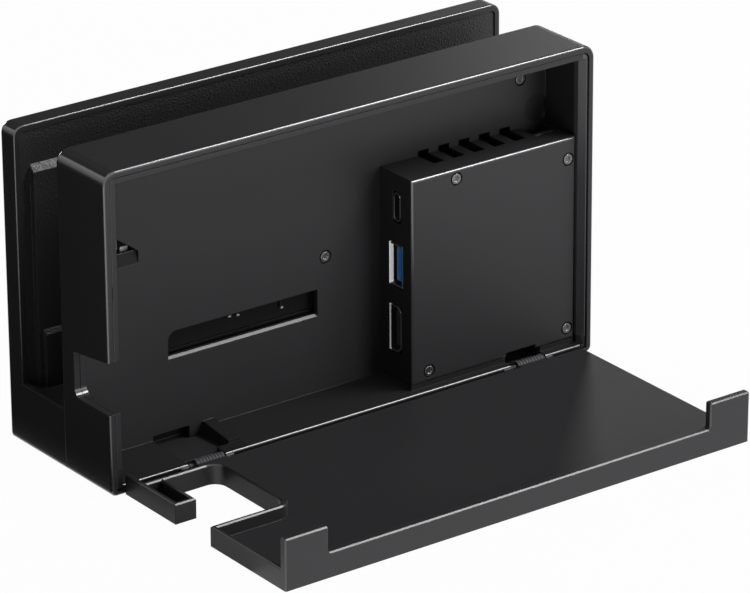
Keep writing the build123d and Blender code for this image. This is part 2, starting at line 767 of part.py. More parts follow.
# Port cover: the box over the main board, with vents, socket mouths and screw recesses
with BuildPart() as port_cover:
    cover_middle = ((cover_left_x + cover_right_x) / 2, (cover_bottom_z + cover_top_z) / 2)
    cover_height = cover_top_z - cover_bottom_z
    with BuildSketch(seen_from_rear(cover_face_y)):
        with Locations(cover_middle):
            Rectangle(cover_width, cover_height)
    extrude(amount=cover_depth)
    outer_edges = port_cover.edges().group_by(Axis.Y)[-1]
    fillet(outer_edges, cover_edge_radius)
    with BuildSketch(seen_from_rear(cover_inner_y)):
        with Locations(cover_middle):
            Rectangle(cover_width - 2 * cover_wall, cover_height - 2 * cover_wall)
    extrude(amount=cover_inner_y - panel_y, mode=Mode.SUBTRACT)
    discs(cover_screw_places, column_radius, cover_inner_y, cover_inner_y - panel_y, Mode.ADD, hidden_sides)
    recessed_screw_holes(cover_screw_places, cover_face_y, cover_depth)
    for vent_x in vent_places:
        block(
            (vent_x - vent_width / 2, vent_x + vent_width / 2),
            (panel_y - wall, panel_y + vent_length),
            (cover_top_z - cover_wall, cover_top_z + wall),
            Mode.SUBTRACT,
        )
    # cut-out at the upper far corner, crossed by a small round bar
    block(
        (cover_right_x + cover_wall, cover_right_x + corner_cut_width),
        (panel_y - wall, panel_y + corner_cut_length),
        (cover_top_z - 2 * cover_wall, cover_top_z + wall),
        Mode.SUBTRACT,
    )
    with BuildSketch(Plane.YZ.offset(cover_right_x + cover_wall)):
        with Locations((panel_y + corner_bar_setback, cover_top_z - corner_bar_radius)):
            Circle(corner_bar_radius)
    extrude(amount=corner_cut_width - cover_wall)
    # socket mouths on the left side
    for mouth_z, span, low_y, rise in (
        (usb_z, usb_span, board_y, usb_rise),
        (video_z, video_span, board_y, video_rise),
        (power_z, power_span, board_y + power_lift, power_rise),
    ):
        block(
            (cover_left_x - cover_wall - wall / 2, cover_left_x + wall),
            (low_y - socket_gap, low_y + rise + socket_gap),
            (mouth_z - span / 2 - socket_gap, mouth_z + span / 2 + socket_gap),
            Mode.SUBTRACT,
        )
    for socket_z in side_usb_places:
        block(
            (cover_right_x - wall, cover_right_x + cover_wall + wall / 2),
            (board_y - socket_gap, board_y + usb_rise + socket_gap),
            (socket_z - usb_span / 2 - socket_gap, socket_z + usb_span / 2 + socket_gap),
            Mode.SUBTRACT,
        )
    # hinge notch in the lower edge
    cover_notch_x = knuckle_places[1] + knuckle_length / 2 + pocket_outer_side
    block(
        (cover_notch_x - cover_notch_width, cover_notch_x),
        (cover_inner_y - wall, cover_face_y + wall),
        (cover_bottom_z - wall, cover_bottom_z + cover_notch_rise),
        Mode.SUBTRACT,
    )
finish(port_cover, "port_cover")

# Rear door: a shallow panel with a hooked cable gap, a turned-up far edge and two hinge knuckles
with BuildPart() as rear_door_flat:
    with BuildSketch(Plane.XY.offset(door_low_z)):
        with Locations((0, (door_near_y + door_far_y) / 2)):
            Rectangle(2 * door_half_width, door_far_y - door_near_y)
    extrude(amount=door_thickness)
    fillet(rear_door_flat.edges().filter_by(Axis.X).group_by(Axis.Y)[0], door_near_radius)
    # rim along the open side and round the cable gap
    with BuildSketch(Plane.XY.offset(door_low_z)):
        rim_low_x = cable_gap_right_x - door_rim_thickness
        with Locations(((rim_low_x + door_half_width) / 2, (cable_gap_near_y + cable_gap_far_y) / 2)):
            Rectangle(door_half_width - rim_low_x, cable_gap_length + 2 * door_rim_thickness)
        with Locations((door_half_width - door_rim_thickness / 2, (door_near_y + door_far_y) / 2)):
            Rectangle(door_rim_thickness, door_far_y - door_near_y)
        fillet(vertices().sort_by(Axis.X)[0:2], cable_gap_radius)
    extrude(amount=door_rim_height)
    # trough between the two walls of the hooked arm
    block(
        (arm_inner_x + arm_inner_wall, door_half_width - door_rim_thickness),
        (cable_gap_near_y, arm_tip_y - door_rim_thickness),
        (door_top_z, door_rim_top_z + wall),
        Mode.SUBTRACT,
    )
    # far flange, low in the middle with a tall ear at each end
    with BuildSketch(seen_from_rear(door_far_y)):
        with BuildLine():
            Polyline(
                (-door_half_width, door_low_z),
                (door_half_width, door_low_z),
                (door_half_width, door_low_z + ear_height),
                (door_half_width - ear_width, door_low_z + ear_height),
                (door_half_width - ear_width, door_low_z + flange_height),
                (-door_half_width + ear_width, door_low_z + flange_height),
                (-door_half_width + ear_width, door_low_z + ear_height),
                (-door_half_width, door_low_z + ear_height),
                close=True,
            )
        make_face()
    extrude(amount=flange_thickness)
    # the cable gap itself, leaving the hooked arm
    with BuildSketch(Plane.XY.offset(door_low_z)):
        with BuildLine():
            Polyline(
                (cable_gap_right_x, cable_gap_near_y),
                (arm_inner_x, cable_gap_near_y),
                (arm_inner_x, arm_tip_y),
                (door_half_width + wall, arm_tip_y),
                (door_half_width + wall, cable_gap_far_y),
                (cable_gap_right_x, cable_gap_far_y),
                close=True,
            )
        make_face()
        gap_corners = vertices().sort_by(Axis.X)
        fillet(gap_corners[0:2], cable_gap_radius)
    extrude(amount=ear_height, mode=Mode.SUBTRACT)
    low, high = door_rim_top_z - fit_gap, door_low_z + ear_height + fit_gap
    upper_edges = rear_door_flat.edges().filter_by_position(Axis.Z, low, high)
    rim_edges = upper_edges.filter_by_position(Axis.Z, low, low + 2 * fit_gap)
    rim_end = rim_edges.filter_by_position(Axis.Y, door_far_y - flange_thickness - fit_gap, door_far_y)
    chamfer(upper_edges - rim_end, door_edge_bevel)
    # hinge knuckles: round barrels on short straps, with a trunnion at each end
    for knuckle_x in knuckle_places:
        low_x = knuckle_x - knuckle_length / 2
        strap_length = door_near_y + door_near_radius - hinge_y
        with BuildSketch(Plane.YZ.offset(low_x)):
            with Locations((hinge_y, hinge_z)):
                Circle(knuckle_radius)
            with Locations((hinge_y + strap_length / 2, (door_low_z + door_top_z) / 2)):
                Rectangle(strap_length, door_thickness)
        extrude(amount=knuckle_length)
        with BuildSketch(Plane.YZ.offset(low_x - pocket_inner_side - trunnion_reach)):
            with Locations((hinge_y, hinge_z)):
                Circle(trunnion_radius)
        extrude(amount=knuckle_length + pocket_inner_side + pocket_outer_side + 2 * trunnion_reach)

hinge_axis = Axis((0, hinge_y, hinge_z), (1, 0, 0))
rear_door = rear_door_flat.part.rotate(hinge_axis, -droop_deg)
rear_door.label = "rear_door"
export_step(rear_door, os.path.join("parts", "rear_door.step"))

# Inner shield: thin metal on the front wall, cut out behind the window, with small hanging tabs
with BuildPart() as inner_shield:
    shield_face_y = housing_inner_front_y + shield_thickness
    shield_depth = (housing_inner_front_y, shield_face_y)
    shield_left_x = window_left_x + shield_window_side
    shield_top_z = tray_inner_top_z - shield_top_gap
    shield_head_z = window_top_z + shield_window_head
    band_low_z = catch_low_z + catch_rise + shield_catch_gap
    block((cover_left_x + shield_cover_gap, shield_left_x), shield_depth, (shield_bottom_z, shield_top_z))
    block((shield_left_x, catch_high_x - shield_catch_gap), shield_depth, (band_low_z, shield_top_z))
    block(
        (window_right_x - shield_window_head, shield_left_x - wall),
        shield_depth,
        (window_bottom_z + shield_sill, shield_head_z),
        Mode.SUBTRACT,
    )
    boss_hole_radius = boss_radius + socket_gap
    discs(tray_screw_places[:1], boss_hole_radius, tray_front_y, tray_cavity, Mode.SUBTRACT, hidden_sides)
    for tab_x, tip_z in shield_tab_places:
        tab_span = (tab_x - shield_tab_width / 2, tab_x + shield_tab_width / 2)
        block(tab_span, shield_depth, (tip_z, shield_head_z))
        block(tab_span, (shield_face_y, shield_face_y + shield_tab_tip), (tip_z, tip_z + shield_tab_tip))
    catch_tab_x = catch_low_x + catch_tab_offset
    block(
        (catch_tab_x - catch_tab_width / 2, catch_tab_x + catch_tab_width / 2),
        shield_depth,
        (catch_low_z + catch_tab_lift, band_low_z),
    )
finish(inner_shield, "inner_shield")

# Main board on its standoffs
with BuildPart() as main_board:
    with BuildSketch(seen_from_rear(board_y)):
        with Locations(((board_left_x + board_right_x) / 2, (board_bottom_z + board_top_z) / 2)):
            Rectangle(board_left_x - board_right_x, board_top_z - board_bottom_z)
        with Locations(*board_screw_places):
            RegularPolygon(screw_hole_radius, hidden_sides, mode=Mode.SUBTRACT)
    extrude(amount=board_thickness)
finish(main_board, "main_board")

# Data socket on the left edge of the board: a folded shell and its tongue
with BuildPart() as usb_socket:
    block((cover_left_x - usb_length, cover_left_x), (board_y, board_y + usb_rise),
          (usb_z - usb_span / 2, usb_z + usb_span / 2))
    block((cover_left_x - usb_length + socket_sheet, cover_left_x + wall),
          (board_y + socket_sheet, board_y + usb_rise - socket_sheet),
          (usb_z - usb_span / 2 + socket_sheet, usb_z + usb_span / 2 - socket_sheet), Mode.SUBTRACT)
finish(usb_socket, "usb_socket")

with BuildPart() as usb_tongue:
    tongue_middle_y = board_y + usb_rise / 2
    block((cover_left_x - usb_length + socket_sheet, cover_left_x - usb_tongue_inset),
          (tongue_middle_y - usb_tongue_thickness / 2, tongue_middle_y + usb_tongue_thickness / 2),
          (usb_z - usb_tongue_span / 2, usb_z + usb_tongue_span / 2))
finish(usb_tongue, "usb_tongue")

# Video socket: a shell with two sloped corners, and its tongue
with BuildPart() as video_socket:
    with BuildSketch(Plane.YZ.offset(cover_left_x - video_length)):
        with Locations((board_y + video_rise / 2, video_z)):
            Rectangle(video_rise, video_span)
        chamfer(vertices().group_by(Axis.X)[-1], video_chamfer)
    extrude(amount=video_length)
    with BuildSketch(Plane.YZ.offset(cover_left_x - video_length + socket_sheet)):
        with Locations((board_y + video_rise / 2, video_z)):
            Rectangle(video_rise - 2 * socket_sheet, video_span - 2 * socket_sheet)
        chamfer(vertices().group_by(Axis.X)[-1], video_chamfer)
    extrude(amount=video_length, mode=Mode.SUBTRACT)
finish(video_socket, "video_socket")

with BuildPart() as video_tongue:
    video_middle_y = board_y + video_rise / 2
    block((cover_left_x - video_length + socket_sheet, cover_left_x - usb_tongue_inset),
          (video_middle_y - video_tongue_thickness / 2, video_middle_y + video_tongue_thickness / 2),
          (video_z - video_tongue_span / 2, video_z + video_tongue_span / 2))
finish(video_tongue, "video_tongue")

# Power socket: a rounded shell on a short riser, and its thin tongue
with BuildPart() as power_socket:
    power_middle_y = board_y + power_lift + power_rise / 2
    with BuildSketch(Plane.YZ.offset(cover_left_x - power_length)):
        with Locations((power_middle_y, power_z)):
            SlotOverall(power_span, power_rise, rotation=90)
    extrude(amount=power_length)
    with BuildSketch(Plane.YZ.offset(cover_left_x - power_length + socket_sheet)):
        with Locations((power_middle_y, power_z)):
            SlotOverall(power_span - 2 * socket_sheet, power_rise - 2 * socket_sheet, rotation=90)
    extrude(amount=power_length, mode=Mode.SUBTRACT)
    block((cover_left_x - power_length, cover_left_x - cover_wall - socket_gap),
          (board_y, board_y + power_lift + socket_sheet / 2),
          (power_z - power_span / 2 + power_rise / 2, power_z + power_span / 2 - power_rise / 2))
finish(power_socket, "power_socket")

with BuildPart() as power_tongue:
    block((cover_left_x - power_length + socket_sheet, cover_left_x - usb_tongue_inset),
          (power_middle_y - power_tongue_thickness / 2, power_middle_y + power_tongue_thickness / 2),
          (power_z - power_tongue_span / 2, power_z + power_tongue_span / 2))
finish(power_tongue, "power_tongue")

# Two data sockets on the right side of the body
with BuildPart() as side_usb_sockets:
    for socket_z in side_usb_places:
        block((-half_width, -half_width + usb_length), (board_y, board_y + usb_rise),
              (socket_z - usb_span / 2, socket_z + usb_span / 2))
        block((-half_width - wall, -half_width + usb_length - socket_sheet),
              (board_y + socket_sheet, board_y + usb_rise - socket_sheet),
              (socket_z - usb_span / 2 + socket_sheet, socket_z + usb_span / 2 - socket_sheet), Mode.SUBTRACT)
finish(side_usb_sockets, "side_usb_sockets")

with BuildPart() as side_usb_tongues:
    for socket_z in side_usb_places:
        block((-half_width + usb_tongue_inset, -half_width + usb_length - socket_sheet),
              (tongue_middle_y - usb_tongue_thickness / 2, tongue_middle_y + usb_tongue_thickness / 2),
              (socket_z - usb_tongue_span / 2, socket_z + usb_tongue_span / 2))
finish(side_usb_tongues, "side_usb_tongues")

# Plug brackets: an angled cheek on each side of the carrier, fixed under the bridge deck
with BuildPart() as plug_brackets:
    for side in (-1, 1):
        cheek_x = side * (carrier_length / 2 + cheek_gap)
        flange_x = cheek_x + side * (cheek_thickness + bracket_flange)
        block(sorted((cheek_x, cheek_x + side * cheek_thickness)),
              (slot_middle_y - cheek_depth / 2, slot_middle_y + cheek_depth / 2),
              (carrier_bottom_z, deck_low_z))
        block(sorted((cheek_x, flange_x)),
              (slot_middle_y - cheek_depth / 2, slot_middle_y + cheek_depth / 2),
              (deck_low_z - cheek_thickness, deck_low_z))
    with BuildSketch(Plane.YZ.offset(-carrier_length)):
        with Locations((slot_middle_y, carrier_pivot_z)):
            Circle(carrier_pin_hole_radius)
    extrude(amount=2 * carrier_length, mode=Mode.SUBTRACT)
finish(plug_brackets, "plug_brackets")

# Plug carrier: a bevelled block that tilts on two pins
with BuildPart() as plug_carrier:
    with BuildSketch(Plane.XY.offset(carrier_bottom_z)):
        with Locations((0, slot_middle_y)):
            Rectangle(carrier_length, carrier_depth)
        chamfer(vertices(), carrier_bevel)
    extrude(amount=carrier_top_z - carrier_bottom_z)
    chamfer(plug_carrier.edges().group_by(Axis.Z)[-1], carrier_bevel / 2)
    pin_span = carrier_length + 2 * carrier_pin_reach
    with BuildSketch(Plane.YZ.offset(-pin_span / 2)):
        with Locations((slot_middle_y, carrier_pivot_z)):
            Circle(carrier_pin_radius)
    extrude(amount=pin_span)
finish(plug_carrier, "plug_carrier")

# Console plug: the metal mouthpiece standing on the carrier
with BuildPart() as console_plug:
    with BuildSketch(Plane.XY.offset(carrier_top_z)):
        with Locations((0, slot_middle_y)):
            SlotOverall(plug_length, plug_thickness)
    extrude(amount=plug_height)
    with BuildSketch(Plane.XY.offset(carrier_top_z + plug_height)):
        with Locations((0, slot_middle_y)):
            SlotOverall(plug_length - 2 * plug_sheet, plug_thickness - 2 * plug_sheet)
    extrude(amount=-plug_mouth_depth, mode=Mode.SUBTRACT)
finish(console_plug, "console_plug")

# Plug board under the carrier
with BuildPart() as plug_board:
    board_half_length = carrier_length / 2 - plug_board_inset
    board_half_depth = carrier_depth / 2 - plug_board_inset
    block((-board_half_length, board_half_length),
          (slot_middle_y - board_half_depth, slot_middle_y + board_half_depth),
          (carrier_bottom_z - plug_board_thickness, carrier_bottom_z))
finish(plug_board, "plug_board")

# Centring springs: a bent strip in front of and behind the carrier
with BuildPart() as centring_springs:
    for side in (-1, 1):
        stem = carrier_depth / 2 + spring_stand_off
        foot = carrier_depth / 2 + spring_foot_gap
        tab = plug_opening_depth / 2 + spring_tab
        spans = (
            (stem, tab, deck_low_z - spring_thickness, deck_low_z),
            (stem, stem + spring_thickness, spring_foot_z, deck_low_z),
            (foot, stem + spring_thickness, spring_foot_z, spring_foot_z + spring_thickness),
        )
        for near, far, low, high in spans:
            block((-spring_width / 2, spring_width / 2),
                  sorted((slot_middle_y + side * near, slot_middle_y + side * far)), (low, high))
finish(centring_springs, "centring_springs")

# Ribbon cable from under the plug, through both walls and up to the board
with BuildPart() as ribbon_cable:
    ribbon_up_y = tray_front_y - ribbon_gap - ribbon_thickness
    ribbon_front_y = slot_middle_y - ribbon_run_depth / 2
    with BuildSketch(Plane.XY.offset(ribbon_z)):
        with BuildLine():
            Polyline(
                (ribbon_right_x, ribbon_front_y),
                (ribbon_run_x, ribbon_front_y),
                (ribbon_run_x, ribbon_front_y + ribbon_run_depth),
                (ribbon_left_x, ribbon_front_y + ribbon_run_depth),
                (ribbon_left_x, ribbon_up_y + ribbon_thickness),
                (ribbon_right_x, ribbon_up_y + ribbon_thickness),
                close=True,
            )
        make_face()
    extrude(amount=ribbon_thickness)
    block((ribbon_right_x, ribbon_left_x), (ribbon_up_y, ribbon_up_y + ribbon_thickness),
          (ribbon_z, ribbon_top_z + ribbon_thickness))
    block((ribbon_right_x, ribbon_left_x), (ribbon_up_y, board_low_y),
          (ribbon_top_z, ribbon_top_z + ribbon_thickness))
finish(ribbon_cable, "ribbon_cable")

# Status light: a small clear bar in the front wall and the board behind it
with BuildPart() as light_pipe:
    with BuildSketch(seen_from_rear(front_y + light_depth)):
        with Locations((light_x, light_z)):
            SlotOverall(light_length, light_thickness)
    extrude(amount=light_depth)
finish(light_pipe, "light_pipe")

with BuildPart() as light_board:
    block((light_x - light_board_length / 2, light_x + light_board_length / 2),
          (front_y + light_depth, front_y + light_depth + light_board_thickness),
          (base_plate_top_z, base_plate_top_z + light_board_height))
finish(light_board, "light_board")

# Rubber feet under the base plate and under the rear housing
with BuildPart() as rubber_feet:
    with BuildSketch(Plane.XY):
        for foot_y in (front_foot_y, rear_foot_y):
            with Locations((-foot_x, foot_y), (foot_x, foot_y)):
                Rectangle(foot_length, foot_depth)
        chamfer(vertices(), foot_corner)
    extrude(amount=foot_height)
finish(rubber_feet, "rubber_feet")

# Screws
with BuildPart() as port_cover_screws:
    shank_length = cover_depth - screw_recess_depth + tray_panel
    screws_facing_rear(cover_screw_places, cover_face_y - screw_recess_depth, shank_length, head_sides)
finish(port_cover_screws, "port_cover_screws")

with BuildPart() as tray_screws:
    shank_length = tray_cavity + screw_recess_depth
    screws_facing_rear(tray_screw_places, panel_y - screw_recess_depth, shank_length, head_sides)
finish(tray_screws, "tray_screws")

with BuildPart() as board_screws:
    screws_facing_rear(board_screw_places, board_y, board_thickness + board_standoff, hidden_sides)
finish(board_screws, "board_screws")

with BuildPart() as base_screws:
    base_pillars(screw_head_radius, shell_bottom_z, screw_head_height, head_sides)
    base_pillars(screw_shank_radius, shell_bottom_z, base_plate_thickness + base_screw_grip, shank_sides)
    base_pillars(drive_radius, shell_bottom_z, drive_depth, drive_sides, Mode.SUBTRACT)
finish(base_screws, "base_screws")
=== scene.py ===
import math

import bmesh
import bpy
from mathutils import Matrix, Vector


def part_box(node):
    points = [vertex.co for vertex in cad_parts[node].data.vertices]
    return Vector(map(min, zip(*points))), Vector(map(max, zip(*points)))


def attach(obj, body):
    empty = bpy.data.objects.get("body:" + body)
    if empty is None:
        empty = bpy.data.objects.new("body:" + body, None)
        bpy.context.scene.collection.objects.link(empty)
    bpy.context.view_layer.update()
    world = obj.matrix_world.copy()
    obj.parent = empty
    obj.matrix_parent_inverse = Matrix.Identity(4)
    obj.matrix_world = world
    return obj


bl_info = {
    "name": "Handheld Console Dock",
    "version": (1, 0, 0),
    "blender": (4, 5, 0),
    "location": "View3D > Sidebar > Dock",
    "description": "Finishes the packed dock and sets it on a pale studio floor",
    "category": "Object",
}

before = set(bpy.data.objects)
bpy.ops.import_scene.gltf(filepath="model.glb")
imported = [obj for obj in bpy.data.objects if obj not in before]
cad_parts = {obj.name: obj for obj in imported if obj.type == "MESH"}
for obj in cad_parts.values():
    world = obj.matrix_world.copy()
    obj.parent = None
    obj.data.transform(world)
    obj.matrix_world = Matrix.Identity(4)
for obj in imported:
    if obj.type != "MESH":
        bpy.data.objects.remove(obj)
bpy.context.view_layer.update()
MM = 0.001
WHITE = (1.0, 1.0, 1.0, 1.0)
FLAG_BLACK = (0.01, 0.01, 0.01, 1.0)

# Not quite upright, so that it also turns what looks straight up
UPRIGHT = (0, 0.02, 1)

# Nodes that are finished or lit together
SOCKETS = ("usb_socket", "video_socket", "power_socket")
TONGUES = ("usb_tongue", "video_tongue", "power_tongue")

# Mouth and far wall that the three sockets share, in millimetres
MOUTH_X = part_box("usb_socket")[1].x / MM
FAR_WALL_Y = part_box("usb_socket")[0].y / MM

# Contact strips of each tongue: how many, and how wide
STRIPS = {"usb_tongue": (4, 1.0 * MM), "video_tongue": (10, 0.45 * MM), "power_tongue": (6, 0.35 * MM)}
STRIP_ROOT = 2.0 * MM
STRIP_TIP = 1.0 * MM

# Middle of the clip that shows through the catch opening
CLIP_X, CLIP_Z = 67.55 * MM, 65.55 * MM

# Painted shade in hollows, painted sheen on bevels and painted light on the hinge knuckles, as multiples of the
# moulded black's colours, and how strongly they show
DEEP_PAINTED_SHADE, DEEP_ROUGHNESS = 0.15, 0.4
PAINTED_SHEEN_SHADE, PAINTED_SHEEN_SHARE = 3.0, 0.7
RING_PAINTED_LIGHT, RING_HEIGHT, RING_PITCH = 5.0, 12.0, 1.1 * MM

# Fall of the metallic part at the painted glints of plated metal
GLINT_FALL = 0.75

# Rise of an edge's value with the turn of its face
EDGE_GAIN = 5.0

# Heights of the liner's pebbles and of the fine grain on them
PEBBLE_RISE, PEBBLE_GRAIN = 1.2, 0.35

# Span of a box that is open at both ends
OPEN = (None, None)


class DockFinish(bpy.types.PropertyGroup):
    """Colours and surface sizes of the dock's own materials."""

    body: bpy.props.FloatVectorProperty(
        name="Body", description="Moulded black of the shells, tray and door",
        subtype="COLOR", size=3, default=(0.034, 0.0335, 0.036), min=0, max=1)
    # Random paler patches of the body, and, made three times paler, the painted sheen along its bevels
    body_worn_and_sheen: bpy.props.FloatVectorProperty(
        name="Body, rubbed", description="Slightly paler black where the moulding is rubbed",
        subtype="COLOR", size=3, default=(0.041, 0.0405, 0.0435), min=0, max=1)
    liner: bpy.props.FloatVectorProperty(
        name="Liner", description="Grained black inside the console slot",
        subtype="COLOR", size=3, default=(0.044, 0.0435, 0.046), min=0, max=1)
    plated: bpy.props.FloatVectorProperty(
        name="Plated metal", description="Satin plate of the socket shells and the plug",
        subtype="COLOR", size=3, default=(0.66, 0.66, 0.67), min=0, max=1)
    # Painted shade: the socket plate is darkened inside the mouths
    mouth_painted_shade: bpy.props.FloatVectorProperty(
        name="Deep metal", description="Plate inside the socket mouths, which little light reaches",
        subtype="COLOR", size=3, default=(0.0792, 0.0792, 0.0804), min=0, max=1)
    # Painted shade: the sheet behind the window is near black
    shield: bpy.props.FloatVectorProperty(
        name="Inner metal", description="Pressed sheet behind the window",
        subtype="COLOR", size=3, default=(0.02, 0.02, 0.021), min=0, max=1)
    tongue: bpy.props.FloatVectorProperty(
        name="Blue tongue", description="Blue plastic inside the data socket",
        subtype="COLOR", size=3, default=(0.018, 0.16, 0.46), min=0, max=1)
    contact: bpy.props.FloatVectorProperty(
        name="Contacts", description="Pale gold contact strips in the sockets",
        subtype="COLOR", size=3, default=(0.72, 0.53, 0.22), min=0, max=1)
    board: bpy.props.FloatVectorProperty(
        name="Boards", description="Coated circuit boards",
        subtype="COLOR", size=3, default=(0.012, 0.06, 0.028), min=0, max=1)
    track: bpy.props.FloatVectorProperty(
        name="Board tracks", description="Paler tracks under the coat of the boards",
        subtype="COLOR", size=3, default=(0.0388, 0.154, 0.0772), min=0, max=1)
    film: bpy.props.FloatVectorProperty(
        name="Cable film", description="Flat cable between the plug and the board",
        subtype="COLOR", size=3, default=(0.6, 0.58, 0.52), min=0, max=1)
    screw: bpy.props.FloatVectorProperty(
        name="Screws", description="Blackened steel of the screws",
        subtype="COLOR", size=3, default=(0.13, 0.128, 0.127), min=0, max=1)
    rubber: bpy.props.FloatVectorProperty(
        name="Rubber", description="Black rubber of the feet and plastic of the dark tongues",
        subtype="COLOR", size=3, default=(0.016, 0.016, 0.016), min=0, max=1)
    light: bpy.props.FloatVectorProperty(
        name="Status light", description="Frosted bar in the front plate",
        subtype="COLOR", size=3, default=(0.5, 0.56, 0.5), min=0, max=1)
    grain: bpy.props.FloatProperty(
        name="Grain", description="Size of the fine moulded grain",
        subtype="DISTANCE", unit="LENGTH", default=0.35 * MM, min=0.1 * MM, max=2.0 * MM)
    pebble: bpy.props.FloatProperty(
        name="Pebbles", description="Size of the liner's leather-like pebbles",
        subtype="DISTANCE", unit="LENGTH", default=1.1 * MM, min=0.2 * MM, max=5.0 * MM)
    edge: bpy.props.FloatProperty(
        name="Edge softness", description="Width of the softened line that edges catch the light on",
        subtype="DISTANCE", unit="LENGTH", default=0.4 * MM, min=0, max=1.0 * MM)
    edge_polish: bpy.props.FloatProperty(
        name="Edge polish", description="How much smoother the sharp edges are than the faces beside them",
        subtype="FACTOR", default=0.24, min=0, max=0.4)


class DockPieces(bpy.types.PropertyGroup):
    """Sizes of the small pieces that are added to the part."""

    strip_height: bpy.props.FloatProperty(
        name="Contact height", description="How far a contact strip stands off its tongue",
        subtype="DISTANCE", unit="LENGTH", default=0.12 * MM, min=0.01 * MM)
    clip_width: bpy.props.FloatProperty(
        name="Clip width", description="Width of the clip behind the catch opening",
        subtype="DISTANCE", unit="LENGTH", default=2.7 * MM, min=0.5 * MM)
    clip_height: bpy.props.FloatProperty(
        name="Clip height", description="Height of the clip behind the catch opening",
        subtype="DISTANCE", unit="LENGTH", default=1.9 * MM, min=0.5 * MM)
    clip_depth: bpy.props.FloatProperty(
        name="Clip depth", description="How far the clip stands off the wall behind it",
        subtype="DISTANCE", unit="LENGTH", default=0.45 * MM, min=0.3 * MM)
    clip_edge: bpy.props.FloatProperty(
        name="Clip edge", description="Softening of the clip's edges",
        subtype="DISTANCE", unit="LENGTH", default=0.12 * MM, min=0.01 * MM)


class DockStage(bpy.types.PropertyGroup):
    """Camera, even light and floor."""

    azimuth: bpy.props.FloatProperty(
        name="Azimuth", description="Direction that the camera stands in, round the dock",
        subtype="ANGLE", unit="ROTATION", default=math.radians(143.629))
    elevation: bpy.props.FloatProperty(
        name="Elevation", description="Height of the camera above the horizon",
        subtype="ANGLE", unit="ROTATION", default=math.radians(22.74))
    roll: bpy.props.FloatProperty(
        name="Roll", description="Turn of the camera about its own axis",
        subtype="ANGLE", unit="ROTATION", default=math.radians(-0.371))
    distance: bpy.props.FloatProperty(
        name="Distance", description="Distance from the middle of the body to the camera",
        subtype="DISTANCE", unit="LENGTH", default=1.5355, min=0.1)
    pan_right: bpy.props.FloatProperty(
        name="Pan right", description="Sideways step of the camera",
        subtype="DISTANCE", unit="LENGTH", default=0.0209)
    pan_up: bpy.props.FloatProperty(
        name="Pan up", description="Upward step of the camera",
        subtype="DISTANCE", unit="LENGTH", default=-0.01856)
    lens: bpy.props.FloatProperty(
        name="Lens", description="Focal length of the camera in millimetres",
        unit="CAMERA", default=249.09, min=1)
    middle: bpy.props.FloatProperty(
        name="Middle height", description="Height of the point that the camera turns about",
        subtype="DISTANCE", unit="LENGTH", default=0.052)
    floor: bpy.props.FloatVectorProperty(
        name="Floor", description="Colour of the studio floor",
        subtype="COLOR", size=3, default=(0.3, 0.3, 0.3), min=0, max=1)
    floor_reach: bpy.props.FloatProperty(
        name="Floor reach", description="Distance from the dock to the floor's edge",
        subtype="DISTANCE", unit="LENGTH", default=6.0, min=1)
    floor_drop: bpy.props.FloatProperty(
        name="Floor drop", description="Hair's breadth that the floor lies below the feet",
        subtype="DISTANCE", unit="LENGTH", default=0.2 * MM, min=0)
    floor_glow: bpy.props.FloatProperty(
        name="Floor white", description="Share of plain white in the floor that is seen",
        subtype="FACTOR", default=0.93, min=0, max=1)
    ambient: bpy.props.FloatProperty(
        name="Ambient", description="Strength of the even light from all round",
        default=0.055, min=0)


class Value:
    """A shader socket that takes part in Python arithmetic."""

    def __init__(self, tree, socket):
        self.tree = tree
        self.socket = socket

    def combine(self, operation, first, second):
        node = self.tree.nodes.new("ShaderNodeMath")
        node.operation = operation
        for place, item in enumerate((first, second)):
            if isinstance(item, Value):
                self.tree.links.new(item.socket, node.inputs[place])
            else:
                node.inputs[place].default_value = item
        return Value(self.tree, node.outputs[0])

    def __add__(self, other):
        return self.combine("ADD", self, other)

    def __radd__(self, other):
        return self.combine("ADD", other, self)

    def __sub__(self, other):
        return self.combine("SUBTRACT", self, other)

    def __rsub__(self, other):
        return self.combine("SUBTRACT", other, self)

    def __mul__(self, other):
        return self.combine("MULTIPLY", self, other)

    def __rmul__(self, other):
        return self.combine("MULTIPLY", other, self)

    def __or__(self, other):
        return self.combine("MAXIMUM", self, other)

    def __and__(self, other):
        return self.combine("MINIMUM", self, other)

    def __lt__(self, other):
        return self.combine("LESS_THAN", self, other)

    def __gt__(self, other):
        return self.combine("GREATER_THAN", self, other)

    def __abs__(self):
        return self.combine("ABSOLUTE", self, 0.0)

    def wave(self):
        return self.combine("SINE", self, 0.0)


